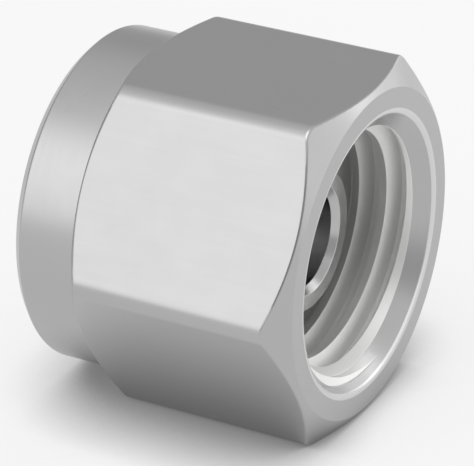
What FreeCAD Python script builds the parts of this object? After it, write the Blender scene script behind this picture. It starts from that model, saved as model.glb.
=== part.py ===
"""Tube plug for a 6.35 mm (1/4 in) tube fitting: a hexagon nut and the turned plug held in it.

Millimetres. The origin is the centre of the nut's mouth, +X runs out of the mouth along the
thread's axis, +Z is up, and the nut lies on one flat of its hexagon. Depths and profiles are
measured back from the mouth, so a depth d is at x = -d.
"""
import math
import os
import FreeCAD
import Part
from FreeCAD import Placement, Rotation, Vector

# Nut, outside: hexagon bar with turned end chamfers and a round collar at the rear
across_flats = 14.2875
corner_round = 0.85
nut_length = 12.7
face_d = 13.8
collar_d = 14.2
collar_length = 2.85
hex_chamfer_deg = 32.5
collar_edge = 0.4

# Nut, inside: the chamfered mouth with a steeper lead-in, a 7/16-20 right-hand thread with its
# relief, the plain bore, the shoulder that drives the plug, and the hole for the plug's stem
mouth_d = 11.8
mouth_chamfer_deg = 45.0
lead_in_d = 10.4
lead_in_deg = 25.0
mouth_edge_round = 0.35
thread_major_d = 11.1125
thread_pitch = 1.27
thread_flank_deg = 30.0
root_flat_share = 1 / 8
thread_height_share = 0.5413
thread_start_deg = 89.0
thread_length = 5.9
relief_length = 1.6
relief_depth = 0.08
shoulder_depth = 8.3
shoulder_deg = 45.0
stem_entry = 0.5

# Plug: one turned piece with a recessed stub, a seal cone, a drive shoulder and a flared stem
tube_d = 6.35
stub_depth = 2.6
stub_length = 2.7
stub_edge = 0.22
recess_d = 4.05
recess_mouth_d = 5.1
recess_length = 3.0
drill_point_deg = 59.0
seal_deg = 30.0
flange_d = 9.3
stem_inset = 0.1

# Running gaps between the plug and the nut, which turns on it
stem_gap = 0.06
shoulder_gap = 0.08
flare_gap = 0.08

# Worked out from the sizes above
half_flats = across_flats / 2
bar_reach = half_flats / math.cos(math.radians(30))
face_r = face_d / 2
collar_r = collar_d / 2
collar_depth = nut_length - collar_length
mouth_r = mouth_d / 2
lead_in_r = lead_in_d / 2
root_r = thread_major_d / 2
crest_r = root_r - thread_height_share * thread_pitch
stub_r = tube_d / 2
stem_r = tube_d / 2
stem_hole_r = stem_r + stem_gap
flange_r = flange_d / 2
recess_r = recess_d / 2
recess_mouth_r = recess_mouth_d / 2


def run(rise, degrees):
    """How far along the axis a cone goes while its radius changes by rise."""
    return rise / math.tan(math.radians(degrees))


def turned(profile):
    """Turns a closed outline of (depth, radius) points about the thread's axis."""
    points = [Vector(-depth, 0, radius) for depth, radius in profile]
    face = Part.Face(Part.makePolygon(points + points[:1]))
    return face.revolve(Vector(0, 0, 0), Vector(1, 0, 0), 360)


def ring_edges(shape, depth, radius):
    """The round edges of a turned shape at one depth and radius."""
    found = []
    for edge in shape.Edges:
        curve = edge.Curve
        if not isinstance(curve, Part.Circle):
            continue
        if abs(curve.Radius - radius) < 1e-4 and abs(curve.Center.x + depth) < 1e-4:
            found.append(edge)
    return found


def hexagon_bar():
    """The bar that the nut is cut from, with drawn round corners, one flat up and one down."""
    corners = []
    for index in range(6):
        angle = math.radians(60 * index)
        corners.append(Vector(-nut_length, bar_reach * math.cos(angle), bar_reach * math.sin(angle)))
    bar = Part.Face(Part.makePolygon(corners + corners[:1])).extrude(Vector(nut_length, 0, 0))
    long_edges = [edge for edge in bar.Edges if abs(edge.Length - nut_length) < 1e-6]
    return bar.makeFillet(corner_round, long_edges)


def outer_form():
    """The bar turned down at both ends: chamfers on the corners, and the collar."""
    slope = math.tan(math.radians(hex_chamfer_deg))
    reach = bar_reach + corner_round
    lathe = turned([
        (0, 0),
        (0, face_r),
        ((reach - face_r) * slope, reach),
        (collar_depth - (reach - collar_r) * slope, reach),
        (collar_depth, collar_r),
        (nut_length - collar_edge, collar_r),
        (nut_length, collar_r - collar_edge),
        (nut_length, 0),
    ])
    return hexagon_bar().common(lathe)


def bored_form():
    """Everything bored out of the nut, apart from the thread's groove."""
    lead_in_start = run(mouth_r - lead_in_r, mouth_chamfer_deg)
    lead_in_end = lead_in_start + run(lead_in_r - crest_r, lead_in_deg)
    relief_end = thread_length + relief_length
    relief_r = root_r + relief_depth
    relief_run = run(relief_r - crest_r, shoulder_deg)
    shoulder_end = shoulder_depth + run(crest_r - stem_hole_r, shoulder_deg)
    return turned([
        (0, 0),
        (0, mouth_r),
        (lead_in_start, lead_in_r),
        (lead_in_end, crest_r),
        (thread_length, crest_r),
        (thread_length, relief_r),
        (relief_end - relief_run, relief_r),
        (relief_end, crest_r),
        (shoulder_depth, crest_r),
        (shoulder_end, stem_hole_r),
        (nut_length - stem_entry, stem_hole_r),
        (nut_length, stem_hole_r + stem_entry),
        (nut_length, 0),
    ])


def thread_turn(half_root, half_open, inner_r):
    """One turn of the thread's groove, a flat-bottomed V swept up a right-hand helix about Z."""
    corners = [
        Vector(inner_r, 0, -half_open),
        Vector(root_r, 0, -half_root),
        Vector(root_r, 0, half_root),
        Vector(inner_r, 0, half_open),
    ]
    outline = Part.makePolygon(corners + corners[:1])
    helix = Part.Wire(Part.makeHelix(thread_pitch, thread_pitch, crest_r).Edges)
    return helix.makePipeShell([outline], True, True)


def cut_thread(body):
    """Cuts the groove a turn at a time, from inside the relief until it is out of the mouth."""
    inner_r = crest_r - relief_depth
    half_root = root_flat_share * thread_pitch / 2
    half_open = half_root + (root_r - inner_r) * math.tan(math.radians(thread_flank_deg))
    turn = thread_turn(half_root, half_open, inner_r)
    start = thread_length + half_open
    angle = thread_start_deg - 360 * start / thread_pitch
    along_axis = Rotation(Vector(0, 1, 0), 90)
    for index in range(math.ceil(start / thread_pitch)):
        groove = turn.copy()
        groove.Placement = Placement(Vector(index * thread_pitch - start, 0, 0), along_axis)
        groove.rotate(Vector(0, 0, 0), Vector(1, 0, 0), angle)
        body = body.cut(groove)
    return body


def make_nut():
    """The nut: hexagon and collar in one piece, bored, chamfered and threaded."""
    body = outer_form().cut(bored_form())
    body = body.makeFillet(mouth_edge_round, ring_edges(body, 0, mouth_r))
    return cut_thread(body)


def make_plug():
    """The plug: recessed stub, seal cone, flange, drive shoulder, and a stem flared at its end."""
    stub_end = stub_depth + stub_length
    seal_end = stub_end + run(flange_r - stub_r, seal_deg)
    along_gap = shoulder_gap / math.sin(math.radians(shoulder_deg))
    drive_start = shoulder_depth + run(crest_r - flange_r, shoulder_deg) - along_gap
    drive_end = drive_start + run(flange_r - stem_r, shoulder_deg)
    stem_end = nut_length - stem_inset
    flare_start = nut_length - stem_entry - stem_gap + flare_gap * math.sqrt(2)
    flare_r = stem_r + stem_end - flare_start
    countersink = recess_mouth_r - recess_r
    recess_end = stub_depth + recess_length
    return turned([
        (recess_end + run(recess_r, drill_point_deg), 0),
        (recess_end, recess_r),
        (stub_depth + countersink, recess_r),
        (stub_depth, recess_mouth_r),
        (stub_depth, stub_r - stub_edge),
        (stub_depth + stub_edge, stub_r),
        (stub_end, stub_r),
        (seal_end, flange_r),
        (drive_start, flange_r),
        (drive_end, stem_r),
        (flare_start, stem_r),
        (stem_end, flare_r),
        (stem_end, 0),
    ])


os.makedirs("parts", exist_ok=True)
for name, shape in (("nut", make_nut()), ("plug", make_plug())):
    shape.exportStep("parts/" + name + ".step")
    print(name, "valid", shape.isValid(), "solids", len(shape.Solids), "volume", round(shape.Volume, 3))
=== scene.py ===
"""The looks of a tube plug: a satin stainless hexagon nut and the bright turned plug inside it.

Sizes are in millimetres until a mesh is made, and angles run round the thread's axis, +X, from
+Y towards +Z. A depth is measured back from the nut's mouth, which lies in the plane x = 0.
"""
import math
import bpy
import numpy as np
from mathutils import Matrix, Vector


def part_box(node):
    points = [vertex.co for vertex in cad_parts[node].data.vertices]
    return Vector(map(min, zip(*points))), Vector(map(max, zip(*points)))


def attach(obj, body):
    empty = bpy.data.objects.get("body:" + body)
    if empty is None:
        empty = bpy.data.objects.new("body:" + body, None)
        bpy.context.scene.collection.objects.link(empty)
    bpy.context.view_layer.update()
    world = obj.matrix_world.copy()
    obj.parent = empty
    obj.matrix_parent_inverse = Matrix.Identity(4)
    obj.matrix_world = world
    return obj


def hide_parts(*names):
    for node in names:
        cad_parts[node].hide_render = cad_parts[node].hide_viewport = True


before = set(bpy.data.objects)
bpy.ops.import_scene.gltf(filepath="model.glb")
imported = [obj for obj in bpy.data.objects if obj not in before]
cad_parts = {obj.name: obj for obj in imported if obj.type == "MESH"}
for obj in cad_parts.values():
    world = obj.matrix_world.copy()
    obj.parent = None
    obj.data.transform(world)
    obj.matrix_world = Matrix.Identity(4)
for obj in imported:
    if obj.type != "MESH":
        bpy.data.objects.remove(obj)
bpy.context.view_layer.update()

# The nut's outside: hexagon bar of stainless steel, drawn to size with small round corners. On
# the lathe its ends get 32.5 degree chamfers, and its rear is turned down to a round collar.
MM = 0.001
nut_low, nut_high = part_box("nut")
nut_length = -nut_low.x / MM
half_flats = nut_high.z / MM
corner_round = 0.85
face_r = 6.9
collar_r = 7.1
collar_depth = 9.85
bar_chamfer = math.radians(32.5)
bar_edge_round = 0.12
collar_edge = 0.4
collar_edge_round = 0.15

# How finely the grid of the bar is drawn
corner_steps = 8
flat_steps = 36
edge_rows = 22
tiny = 1e-9

side_degrees = 60
side_angle = math.radians(side_degrees)
half_side = side_angle / 2
flat_half = math.atan((half_flats - corner_round) * math.tan(half_side) / half_flats)
corner_half = half_side - flat_half


def column_angles():
    """Angles round the axis: close together on the bar's round corners, even on its flats, with
    one near each side of a corner so that the flats stay flat in the shading."""
    nudge = math.radians(0.25)
    corner = np.linspace(0, corner_half, corner_steps)
    flat = np.linspace(corner_half + nudge, side_angle - corner_half - nudge, flat_steps)
    sector = np.concatenate([corner, flat, side_angle - corner[:0:-1]])
    return np.concatenate([sector + math.radians(side_degrees * side) for side in range(6)])


def bar_radius(angle):
    """How far the drawn bar reaches at an angle: half the width over flats divided by the cosine
    from the flat's middle, or near a corner the far side of the corner's small circle."""
    off_corner = np.mod(angle + half_side, side_angle) - half_side
    circle = (half_flats - corner_round) / math.cos(half_side)
    on_circle = circle * np.cos(off_corner) + np.sqrt(
        np.maximum(corner_round ** 2 - (circle * np.sin(off_corner)) ** 2, 0))
    on_flat = half_flats / np.cos(half_side - np.abs(off_corner))
    return np.where(np.abs(off_corner) < corner_half, on_circle, on_flat)


def chamfer_rows(reach, start_r, stop_at_plane):
    """Rows up a turned chamfer and round its edge to the bar's side, at even steps of length.

    The edge is a circle that touches the chamfer's line and the side. Where the chamfer is too
    short for it, the circle is cut off at the face's plane, or at the collar's radius. Returns
    how far each row lies behind the face, and its radius."""
    centre_r = reach - bar_edge_round
    up_line = (centre_r - start_r) * math.sin(bar_chamfer)
    centre = (bar_edge_round + up_line) / math.cos(bar_chamfer)
    if stop_at_plane:
        cut = np.arccos(np.clip(centre / bar_edge_round, -1, 1))
    else:
        cut = np.arcsin(np.clip((start_r - centre_r) / bar_edge_round, -1, 1))
    first = np.maximum(cut, bar_chamfer)
    touch_depth = centre - bar_edge_round * np.cos(first)
    touch_r = centre_r + bar_edge_round * np.sin(first)
    whole = first <= bar_chamfer + tiny
    begin_depth = np.where(whole, 0, touch_depth)
    begin_r = np.where(whole, start_r, touch_r)
    line = np.hypot(touch_depth - begin_depth, touch_r - begin_r)
    arc = bar_edge_round * (math.pi / 2 - first)
    walked = np.linspace(0, 1, edge_rows)[:, None] * (line + arc)
    share = np.minimum(walked / np.maximum(line, tiny), 1)
    turn = first + np.maximum(walked - line, 0) / bar_edge_round
    on_line = walked < line
    depth = np.where(on_line, begin_depth + share * (touch_depth - begin_depth),
                     centre - bar_edge_round * np.cos(turn))
    radius = np.where(on_line, begin_r + share * (touch_r - begin_r),
                      centre_r + bar_edge_round * np.sin(turn))
    return depth, radius


def rounded_line(corners, arc_steps=6, nudge=0.02):
    """An outline through corners given as (depth, radius, round). Each is a circle of its round's
    radius that touches both of its lines, with one more point on each line close to where it is
    touched. A round of 0 keeps the corner sharp, and the line's two ends have none."""
    table = np.array(corners, float)
    points = table[:, :2]
    share = np.linspace(0, 1, arc_steps + 1)[:, None]
    line = [points[0]]
    for before, corner, after, size in zip(points, points[1:], points[2:], table[1:, 2]):
        towards = (before - corner) / np.linalg.norm(before - corner)
        away = (after - corner) / np.linalg.norm(after - corner)
        if size == 0:
            line += [corner + towards * nudge, corner, corner + away * nudge]
            continue
        half = math.acos(np.clip(towards @ away, -1, 1)) / 2
        run = size / math.tan(half)
        middle = corner + (towards + away) / np.linalg.norm(towards + away) * size / math.sin(half)
        first = corner + towards * run - middle
        last = corner + away * run - middle
        spokes = first * (1 - share) + last * share
        line.append(corner + towards * (run + nudge))
        line.extend(middle + spokes / np.linalg.norm(spokes, axis=1, keepdims=True) * size)
        line.append(corner + away * (run + nudge))
    line.append(points[-1])
    return np.array(line)


def grid_mesh(name, depth, radius, angle, finish_rows, closed):
    """A mesh from rows and columns of points: x is minus the depth, y the radius times the
    angle's cosine, z the radius times its sine. A closed grid joins its last row to its first.
    Otherwise each end is a point on the axis, where the columns meet. finish_rows gives the
    material slot of the faces after each row."""
    rows, columns = depth.shape
    points = np.stack([-depth, radius * np.cos(angle), radius * np.sin(angle)], axis=-1) * MM
    points = points.reshape(-1, 3)
    here = np.arange(rows * columns).reshape(rows, columns)
    right = np.roll(here, -1, axis=1)
    above = np.roll(here, -1, axis=0)
    above_right = np.roll(right, -1, axis=0)
    quads = np.stack([here, above, above_right, right], axis=-1)
    caps = []
    if not closed:
        quads = quads[:-1]
        start = np.full(columns, len(points))
        tips = np.array([[-depth[0, 0], 0, 0], [-depth[-1, 0], 0, 0]]) * MM
        points = np.concatenate([points, tips])
        caps = np.stack([start, here[0], right[0]], axis=-1).tolist()
        caps += np.stack([start + 1, right[-1], here[-1]], axis=-1).tolist()
    finish = np.repeat(finish_rows[:len(quads)], columns).tolist() + [0] * len(caps)
    mesh = bpy.data.meshes.new(name)
    mesh.from_pydata(points.tolist(), [], quads.reshape(-1, 4).tolist() + caps)
    mesh.polygons.foreach_set("material_index", finish)
    mesh.update()
    return mesh


# The nut's inside, bored on the lathe: a broken edge, a 45 degree chamfer and a steeper lead-in at
# the mouth, the drilled bore, the relief that the thread runs out into, the shoulder that presses
# on the plug, and the hole that the plug's stem turns in.
mouth_r = 5.9
lead_in_r = 5.2
lead_in = math.radians(25)
mouth_edge_round = 0.35
lead_in_round = 0.2
bore_edge_round = 0.1
thread_major = 11.1125
thread_pitch = 1.27
thread_height_share = 0.5413
thread_length = 5.9
relief_length = 1.6
relief_depth = 0.08
shoulder_depth = 8.3
stem_hole_r = 3.235
stem_entry = 0.5

root_r = thread_major / 2
crest_r = root_r - thread_height_share * thread_pitch
relief_end = thread_length + relief_length
relief_r = root_r + relief_depth
lead_in_end = mouth_r - lead_in_r + (lead_in_r - crest_r) / math.tan(lead_in)

# The outline starts on the collar, this far before its edge, and ends on the face, this far out
# from the mouth.
collar_run = 0.6
face_run = 0.3
inside = rounded_line([
    (nut_length - collar_edge - collar_run, collar_r, 0),
    (nut_length - collar_edge, collar_r, collar_edge_round),
    (nut_length, collar_r - collar_edge, collar_edge_round),
    (nut_length, stem_hole_r + stem_entry, bore_edge_round),
    (nut_length - stem_entry, stem_hole_r, bore_edge_round),
    (shoulder_depth + crest_r - stem_hole_r, stem_hole_r, bore_edge_round),
    (shoulder_depth, crest_r, bore_edge_round),
    (relief_end, crest_r, 0),
    (relief_end - relief_r + crest_r, relief_r, 0),
    (thread_length, relief_r, 0),
    (thread_length, crest_r, 0),
    (lead_in_end, crest_r, 0),
    (mouth_r - lead_in_r, lead_in_r, lead_in_round),
    (mouth_r - root_r, root_r, 0),
    (0, mouth_r, mouth_edge_round),
    (0, mouth_r + face_run, 0),
])

# The nut's grid goes from the collar's edge through the bore, over the face and the chamfered bar
# and back along the collar. Each of these gives how far along its stretch the rows lie.
ring_share = np.array([0.05, 0.3, 0.7, 0.95])[:, None]
flat_share = np.array([0.003, 0.03, 0.2, 0.4, 0.6, 0.8, 0.97, 0.997])[:, None]
collar_share = np.array([0.02, 0.1, 0.4, 0.7])[:, None]

angles = column_angles()
reach = bar_radius(angles)
every = np.ones(len(angles))
front_depth, front_radius = chamfer_rows(reach, face_r, stop_at_plane=True)
rear_forward, rear_radius = chamfer_rows(reach, collar_r, stop_at_plane=False)
rear_depth = (collar_depth - rear_forward)[::-1]
rear_radius = rear_radius[::-1]
ring_radius = inside[-1, 1] + ring_share * (front_radius[0] - inside[-1, 1])
flat_depth = front_depth[-1] + flat_share * (rear_depth[0] - front_depth[-1])
collar_rows = rear_depth[-1] + collar_share * (inside[0, 0] - rear_depth[-1])

# The nut's four finishes, as slots: the plate covers the lead-in and the thread up to just behind
#  the relief, and the mouth's broken edge is burnished, with a painted highlight, for so far in and
#  so far out.
TURNED, DRAWN, PLATED, BURNISHED_HIGHLIGHT = range(4)
plate_setback = 0.001
plate_overrun = 0.05
highlight_in = 0.11
highlight_out = 0.14
plate_start = mouth_r - lead_in_r + plate_setback
plated = (inside[:, 0] > plate_start) & (inside[:, 0] < relief_end + plate_overrun)
# Painted highlight: the band round the mouth's edge that gets the paler burnished colour.
burnished_highlight_band = (inside[:, 0] < highlight_in) & (inside[:, 1] < mouth_r + highlight_out)
inside_finish = np.where(plated, PLATED, np.where(burnished_highlight_band, BURNISHED_HIGHLIGHT, TURNED))

stretches = [
    (inside[:, :1] * every, inside[:, 1:] * every, inside_finish),
    (0 * ring_radius, ring_radius, TURNED),
    (front_depth, front_radius, TURNED),
    (flat_depth, 0 * flat_depth + reach, DRAWN),
    (rear_depth, rear_radius, TURNED),
    (collar_rows, 0 * collar_rows + collar_r, TURNED),
]
depth_rows = np.concatenate([stretch[0] for stretch in stretches])
radius_rows = np.concatenate([stretch[1] for stretch in stretches])
finish_rows = np.concatenate([np.zeros(len(stretch[0]), int) + stretch[2] for stretch in stretches])
bar = grid_mesh("hexagon_nut", depth_rows, radius_rows, angles, finish_rows, closed=True)

# The nut's 7/16-20 thread: a tap cuts one long right-hand groove with a flat root and flanks 30
# degrees from square, from inside the relief until it is clear of the mouth.
thread_at_mouth = math.radians(359)
thread_steps = 240
thread_flank = math.radians(30)
root_flat_share = 1 / 8
root_half = root_flat_share * thread_pitch / 2
groove_floor = crest_r - relief_depth
open_half = root_half + (root_r - groove_floor) * math.tan(thread_flank)


def helix_groove(name):
    """The groove as a solid: a flat-bottomed V carried along the helix, which moves out of the
    mouth by one pitch for each turn. It has a cap at each end, inside the relief and outside."""
    start = -(thread_length + open_half) / thread_pitch
    finish = 2 * open_half / thread_pitch
    turns = np.linspace(start, finish, round((finish - start) * thread_steps))
    offset = np.array([-open_half, -root_half, root_half, open_half])
    radius = np.array([groove_floor, root_r, root_r, groove_floor])
    angle = thread_at_mouth + turns * 2 * math.pi
    x = turns[:, None] * thread_pitch + offset
    y = radius * np.cos(angle)[:, None]
    z = radius * np.sin(angle)[:, None]
    points = np.stack([x, y, z], axis=-1).reshape(-1, 3) * MM
    here = np.arange(x.size).reshape(x.shape)
    side = np.roll(here, -1, axis=1)
    quads = np.stack([here[:-1], here[1:], side[1:], side[:-1]], axis=-1).reshape(-1, 4)
    caps = [here[0].tolist(), here[-1, ::-1].tolist()]
    mesh = bpy.data.meshes.new(name)
    mesh.from_pydata(points.tolist(), [], quads.tolist() + caps)
    mesh.polygons.foreach_set("material_index", [PLATED] * len(mesh.polygons))
    mesh.update()
    return mesh


def cut_away(mesh, tool):
    """The mesh left when the tool's solid is cut from it."""
    body = bpy.data.objects.new("body", mesh)
    cutter = bpy.data.objects.new("cutter", tool)
    for piece in (body, cutter):
        bpy.context.scene.collection.objects.link(piece)
    cut = body.modifiers.new("cut", "BOOLEAN")
    cut.operation = "DIFFERENCE"
    cut.solver = "EXACT"
    cut.object = cutter
    shaped = body.evaluated_get(bpy.context.evaluated_depsgraph_get())
    result = bpy.data.meshes.new_from_object(shaped)
    bpy.data.objects.remove(body)
    bpy.data.objects.remove(cutter)
    return result


def smooth(mesh, name, finishes):
    """Makes the mesh an object in the scene with these materials, smooth except over edges that
    turn by more than 22 degrees."""
    sharp = math.radians(22)
    mesh.polygons.foreach_set("use_smooth", [True] * len(mesh.polygons))
    mesh.set_sharp_from_angle(angle=sharp)
    mesh.name = name
    for finish in finishes:
        mesh.materials.append(finish)
    piece = bpy.data.objects.new(name, mesh)
    bpy.context.scene.collection.objects.link(piece)
    return piece


def linear(colour):
    """An sRGB hex colour as linear red, green, blue and alpha."""
    parts = [int(colour[at:at + 2], 16) / 255 for at in (1, 3, 5)]
    return [part / 12.92 if part <= 0.04045 else ((part + 0.055) / 1.055) ** 2.4
            for part in parts] + [1]


def add(tree, kind, inputs=(), **settings):
    """Adds a node with its settings. inputs pairs each socket's name or number with a value, or
    with another node's output to link."""
    node = tree.nodes.new(kind)
    for name, value in settings.items():
        setattr(node, name, value)
    for socket, value in inputs:
        if isinstance(value, bpy.types.NodeSocket):
            tree.links.new(value, node.inputs[socket])
        else:
            node.inputs[socket].default_value = value
    return node


def metal(name, colour, rough, rough_spread, spacing, length, depth, turned):
    """A metal with fine lines in it, spacing apart, length long and depth deep, in millimetres.

    The lines are noise stretched one way. Turned ones run round the axis, along the angle times
    a middle radius, and drawn ones run along the axis. The roughness goes up and down by
    rough_spread, with the lines and with soft patches where the metal was handled."""
    middle_r = 6
    patch_size = 1.6
    material = bpy.data.materials.new(name)
    material.use_nodes = True
    tree = material.node_tree
    tree.nodes.clear()
    place = add(tree, "ShaderNodeTexCoord").outputs["Object"]
    split = add(tree, "ShaderNodeSeparateXYZ", [(0, place)])
    if turned:
        flat = add(tree, "ShaderNodeCombineXYZ", [
            ("Y", split.outputs["Y"]), ("Z", split.outputs["Z"])])
        out = add(tree, "ShaderNodeVectorMath", [(0, flat.outputs[0])], operation="LENGTH")
        turn = add(tree, "ShaderNodeMath", [(0, split.outputs["Z"]), (1, split.outputs["Y"])],
                   operation="ARCTAN2")
        around = add(tree, "ShaderNodeMath", [(0, turn.outputs[0]), (1, middle_r * MM)],
                     operation="MULTIPLY")
        lines = add(tree, "ShaderNodeCombineXYZ", [
            ("X", split.outputs["X"]), ("Y", out.outputs["Value"]), ("Z", around.outputs[0])])
    else:
        lines = add(tree, "ShaderNodeCombineXYZ", [
            ("X", split.outputs["Y"]), ("Y", split.outputs["Z"]), ("Z", split.outputs["X"])])
    density = (1 / (spacing * MM), 1 / (spacing * MM), 1 / (length * MM))
    scaled = add(tree, "ShaderNodeVectorMath", [(0, lines.outputs[0]), (1, density)],
                 operation="MULTIPLY")
    grain = add(tree, "ShaderNodeTexNoise", [
        ("Vector", scaled.outputs[0]), ("Scale", 1.0), ("Detail", 4.0), ("Roughness", 0.6)])
    patches = add(tree, "ShaderNodeTexNoise", [
        ("Vector", place), ("Scale", 1 / (patch_size * MM)), ("Detail", 3.0)])
    both = add(tree, "ShaderNodeMath", [
        (0, grain.outputs["Fac"]), (1, patches.outputs["Fac"])], operation="ADD")
    roughness = add(tree, "ShaderNodeMapRange", [
        ("Value", both.outputs[0]), ("From Min", 0.6), ("From Max", 1.4),
        ("To Min", rough - rough_spread), ("To Max", rough + rough_spread)])
    bump = add(tree, "ShaderNodeBump", [
        ("Strength", 1.0), ("Distance", depth * MM), ("Height", grain.outputs["Fac"])])
    surface = add(tree, "ShaderNodeBsdfPrincipled", [
        ("Base Color", linear(colour)), ("Metallic", 1.0), ("Roughness", roughness.outputs[0]),
        ("Normal", bump.outputs[0])])
    add(tree, "ShaderNodeOutputMaterial", [("Surface", surface.outputs[0])])
    return material


# Stainless steel from the lathe: a satin grey whose tool lines run round the axis and smear each
# light across them. Real lines are about 0.05 mm apart, too fine to show, and are drawn coarser.
turned_steel = metal("turned_stainless", "#B4B4B4", rough=0.30, rough_spread=0.04,
                     spacing=0.12, length=2.0, depth=0.0015, turned=True)

# Cold-drawn stainless bar: the die leaves long faint lines, so each flat shows one even grey. They
# are drawn about three times as wide as real ones, which would not show.
drawn_steel = metal("drawn_stainless", "#B4B4B4", rough=0.30, rough_spread=0.03,
                    spacing=0.15, length=6.0, depth=0.001, turned=False)

# Silver plate over the cut thread: pale and matt, so the thread stays light inside the bore. Its
# lines are the tap's, drawn coarser than they are.
plated_thread = metal("silver_plate", "#F0F0EF", rough=0.58, rough_spread=0.04,
                      spacing=0.10, length=2.0, depth=0.001, turned=True)

# Stainless steel rubbed smooth on the mouth's broken edge, its colour paler than the steel beside
# it
#  as a painted highlight: a thin bright line round the mouth. The lathe's lines still show in it,
#      as coarse as beside it.
burnished_highlight_edge = metal("burnished_stainless_painted_highlight", "#D4D4D4", rough=0.26, rough_spread=0.03,
                       spacing=0.12, length=2.0, depth=0.001, turned=True)

groove = helix_groove("groove")
nut_finishes = [turned_steel, drawn_steel, plated_thread, burnished_highlight_edge]
nut = smooth(cut_away(bar, groove), "hexagon_nut", nut_finishes)
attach(nut, "nut")
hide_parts("nut")

# The plug: one turned piece of stainless steel. Its stub is as thick as the tube that it stands
# in for, with a drilled recess, and its stem is flared over behind the nut's rear hole.
plug_low, plug_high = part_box("plug")
stub_depth = -plug_high.x / MM
stem_end = -plug_low.x / MM
flange_r = plug_high.z / MM
stub_r = 3.175
stub_edge = 0.22
stub_end = 5.3
recess_r = 2.025
recess_mouth_r = 2.3
recess_end = 5.6
drill_point = math.radians(59)
seal_cone = math.radians(30)
drive_gap = 0.113
flare_start = 12.253
flare_r = 3.522
drilled_round = 0.05
lip_round = 0.06
stub_round = 0.08
turned_round = 0.1
tip_r = 0.01
plug_steps = 240

drill_tip = recess_end + recess_r / math.tan(drill_point)
seal_end = stub_end + (flange_r - stub_r) / math.tan(seal_cone)
drive_start = shoulder_depth + crest_r - flange_r - drive_gap
plug_line = rounded_line([
    (drill_tip - tip_r / math.tan(drill_point), tip_r, 0),
    (recess_end, recess_r, drilled_round),
    (stub_depth + recess_mouth_r - recess_r, recess_r, drilled_round),
    (stub_depth, recess_mouth_r, lip_round),
    (stub_depth, stub_r - stub_edge, lip_round),
    (stub_depth + stub_edge, stub_r, stub_round),
    (stub_end, stub_r, turned_round),
    (seal_end, flange_r, turned_round),
    (drive_start, flange_r, drilled_round),
    (drive_start + flange_r - stub_r, stub_r, turned_round),
    (flare_start, stub_r, turned_round),
    (stem_end, flare_r, drilled_round),
    (stem_end, tip_r, 0),
])
plug_angles = np.linspace(0, 2 * math.pi, plug_steps, endpoint=False)
plug_every = np.ones(plug_steps)
plug_mesh = grid_mesh("turned_plug", plug_line[:, :1] * plug_every, plug_line[:, 1:] * plug_every,
                      plug_angles, np.zeros(len(plug_line), int), closed=False)

# Stainless steel finish-turned at a fine feed: brighter and sharper in its reflections than the
# nut, as a sealing piece is. Its lines, too fine to show, are drawn coarser.
bright_steel = metal("bright_turned_stainless", "#B9B9B9", rough=0.22, rough_spread=0.04,
                     spacing=0.08, length=2.0, depth=0.001, turned=True)
plug = smooth(plug_mesh, "turned_plug", [bright_steel])
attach(plug, "plug")
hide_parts("plug")

# The studio: white paper under the nut, a large soft box overhead, two small ones beyond the
# mouth, and a pale grey room with one large panel that glows at the camera's left.
table_z = nut_low.z
table_half = 2.0
table_corners = [(-table_half, -table_half, table_z), (table_half, -table_half, table_z),
                 (table_half, table_half, table_z), (-table_half, table_half, table_z)]
table_mesh = bpy.data.meshes.new("table")
table_mesh.from_pydata(table_corners, [], [(0, 1, 2, 3)])
table = bpy.data.objects.new("table", table_mesh)
bpy.context.scene.collection.objects.link(table)

# Matt white paper. Seen by the camera, or in the metal, it is a darker grey copy of the paper with
# a painted glow added that lifts it up to white where it lies open to the sky. The glow is painted
# dimmer where the nut hides that sky, which paints the nut's shadow on the paper. That sky is
# tilted towards the mouth and the far side, so the painted shadow stays close to the nut's near
# side and its rear.
white = bpy.data.materials.new("white_paper")
white.use_nodes = True
paper_tree = white.node_tree
paper_tree.nodes.clear()
paper = add(paper_tree, "ShaderNodeBsdfDiffuse", [("Color", linear("#F7F7F7"))])
seen_paper = add(paper_tree, "ShaderNodeBsdfDiffuse", [("Color", linear("#7C7C7C"))])
open_sky = add(paper_tree, "ShaderNodeAmbientOcclusion", [
    ("Distance", 5 * MM), ("Normal", (0.45, 0.35, 0.82))], samples=16)
# Painted shadow: the glow's strength, lower where the nut hides the tilted sky.
painted_shadow = add(paper_tree, "ShaderNodeMapRange", [
    ("Value", open_sky.outputs["AO"]), ("From Min", 0.28), ("From Max", 0.82),
    ("To Min", 0.15), ("To Max", 0.73)])
painted_glow = add(paper_tree, "ShaderNodeEmission", [("Strength", painted_shadow.outputs[0])])
paper_and_painted_glow = add(paper_tree, "ShaderNodeAddShader", [(0, seen_paper.outputs[0]), (1, painted_glow.outputs[0])])
ray = add(paper_tree, "ShaderNodeLightPath").outputs
seen = add(paper_tree, "ShaderNodeMath", [(0, ray["Is Camera Ray"]), (1, ray["Is Glossy Ray"])],
           operation="MAXIMUM")
seen = add(paper_tree, "ShaderNodeMath", [(0, seen.outputs[0]), (1, ray["Is Transmission Ray"])],
           operation="MAXIMUM")
table_look = add(paper_tree, "ShaderNodeMixShader", [
    (0, seen.outputs[0]), (1, paper.outputs[0]), (2, paper_and_painted_glow.outputs[0])])
add(paper_tree, "ShaderNodeOutputMaterial", [("Surface", table_look.outputs[0])])
table_mesh.materials.append(white)


def soft_box(name, direction, distance, width, height, radiance):
    """A flat lamp, in metres, that faces the nut from a direction. A lamp's power is its radiance
    times pi times its area, so one radiance looks the same at any size."""
    lamp = bpy.data.lights.new(name, "AREA")
    lamp.shape = "RECTANGLE"
    lamp.size = width
    lamp.size_y = height
    lamp.energy = radiance * math.pi * width * height
    holder = bpy.data.objects.new(name, lamp)
    away = Vector(direction).normalized()
    turn = away.to_track_quat("Z", "Y").to_matrix().to_4x4()
    holder.matrix_world = Matrix.Translation(away * distance) @ turn
    bpy.context.scene.collection.objects.link(holder)


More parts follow.
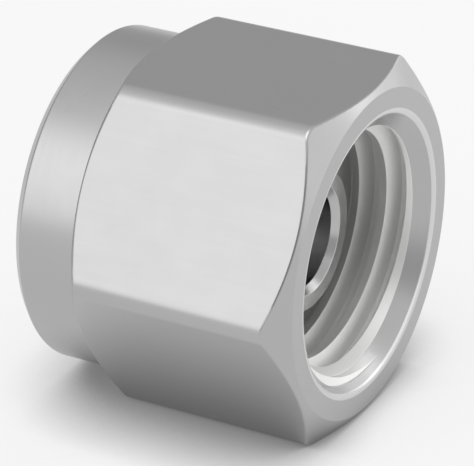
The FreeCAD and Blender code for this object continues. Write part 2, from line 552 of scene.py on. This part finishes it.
soft_box("top_box", (0.10, -0.25, 0.96), distance=2.0, width=1.5, height=1.5, radiance=1.5)
soft_box("mouth_box", (0.906, 0.423, 0.25), distance=0.1, width=0.11, height=0.06, radiance=0.7)
soft_box("back_box", (0.42, 0.85, 0.30), distance=0.12, width=0.09, height=0.07, radiance=0.8)

# The room gets lighter from eye level to the ceiling. It is dimmer round the side that the
# photograph was taken from, and the glowing panel fades out towards its edge.
dim_middle = (0.407, -0.795, 0.4505)
panel_middle = (-0.389, -0.80, 0.456)
panel_stretch = (1.7, 1.0, 1.0)

world = bpy.data.worlds.new("room")
world.use_nodes = True
bpy.context.scene.world = world
room = world.node_tree
room.nodes.clear()
look = add(room, "ShaderNodeTexCoord").outputs["Generated"]
height = add(room, "ShaderNodeSeparateXYZ", [(0, look)])
level = add(room, "ShaderNodeMapRange", [
    ("Value", height.outputs["Z"]), ("From Min", 0.4), ("From Max", 0.85),
    ("To Min", 0.53), ("To Max", 0.80)], interpolation_type="SMOOTHSTEP")
towards = add(room, "ShaderNodeVectorMath", [(0, look), (1, dim_middle)],
              operation="DOT_PRODUCT")
gap = add(room, "ShaderNodeMapRange", [
    ("Value", towards.outputs["Value"]), ("From Min", 0.85), ("From Max", 0.97),
    ("To Min", 1.0), ("To Max", 0.45)], interpolation_type="SMOOTHSTEP")
grey = add(room, "ShaderNodeMath", [(0, level.outputs[0]), (1, gap.outputs[0])],
           operation="MULTIPLY")
off_panel = add(room, "ShaderNodeVectorMath", [(0, look), (1, panel_middle)],
                operation="SUBTRACT")
stretched = add(room, "ShaderNodeVectorMath", [(0, off_panel.outputs[0]), (1, panel_stretch)],
                operation="MULTIPLY")
far = add(room, "ShaderNodeVectorMath", [(0, stretched.outputs[0])], operation="LENGTH")
panel = add(room, "ShaderNodeMapRange", [
    ("Value", far.outputs["Value"]), ("From Min", 0.83), ("From Max", 0.244),
    ("To Min", 0.0), ("To Max", 1.2)], interpolation_type="SMOOTHSTEP")
strength = add(room, "ShaderNodeMath", [(0, grey.outputs[0]), (1, panel.outputs[0])],
               operation="ADD")
sky = add(room, "ShaderNodeBackground", [
    ("Color", linear("#FFFFFF")), ("Strength", strength.outputs[0])])
add(room, "ShaderNodeOutputWorld", [("Surface", sky.outputs[0])])

# The camera looks at the nut's mouth from the photograph's angle. Its place, in millimetres, is so
# far back from the mouth, and so far right and up across its own view.
camera_azimuth = math.radians(28.726)
camera_elevation = math.radians(27.354)
camera_roll = math.radians(-0.485)
camera_distance = 131.298
camera_right = -5.4334
camera_up = 0.8738
focal_pixels = 3255.89
frame_pixels = 474

flat_reach = math.cos(camera_elevation)
back = Vector((math.sin(camera_azimuth) * flat_reach, -math.cos(camera_azimuth) * flat_reach,
               math.sin(camera_elevation)))
level_right = Vector((math.cos(camera_azimuth), math.sin(camera_azimuth), 0))
level_up = back.cross(level_right)
right = level_right * math.cos(camera_roll) + level_up * math.sin(camera_roll)
up = level_up * math.cos(camera_roll) - level_right * math.sin(camera_roll)
place = (back * camera_distance + right * camera_right + up * camera_up) * MM
camera_data = bpy.data.cameras.new("camera")
camera_data.sensor_width = 36
camera_data.lens = focal_pixels / frame_pixels * camera_data.sensor_width
camera_data.clip_start = 0.01
camera_data.clip_end = 10
camera = bpy.data.objects.new("camera", camera_data)
camera.matrix_world = Matrix.Translation(place) @ Matrix((right, up, back)).transposed().to_4x4()
bpy.context.scene.collection.objects.link(camera)
bpy.context.scene.camera = camera
bpy.context.scene.view_settings.view_transform = "Standard"
